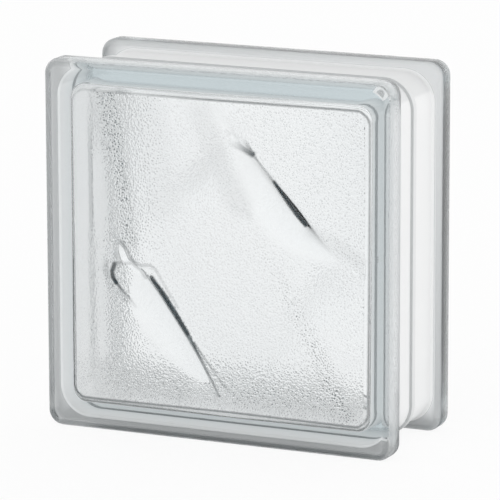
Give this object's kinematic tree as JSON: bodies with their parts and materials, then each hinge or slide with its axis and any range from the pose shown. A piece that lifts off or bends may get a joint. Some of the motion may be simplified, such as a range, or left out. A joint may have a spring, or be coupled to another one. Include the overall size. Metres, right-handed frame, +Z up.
{
  "type": "glass block",
  "caption": "Square hollow glass building block with a mortar channel round its edge and a wave relief pressed into the inside of each face.",
  "frame": {"origin": "middle of the underside, on the plane that the block stands on, below the seam", "axes": "+X to the right across the face, +Y from the front face to the rear face, +Z up"},
  "size_m": [0.19, 0.08, 0.19],
  "materials": {
    "pressed_glass": "clear pressed soda-lime glass, fire-polished outside, stippled inside"
  },
  "bodies": {
    "root": {"front_shell": "pressed_glass", "rear_shell": "pressed_glass"}
  },
  "joints": []
}
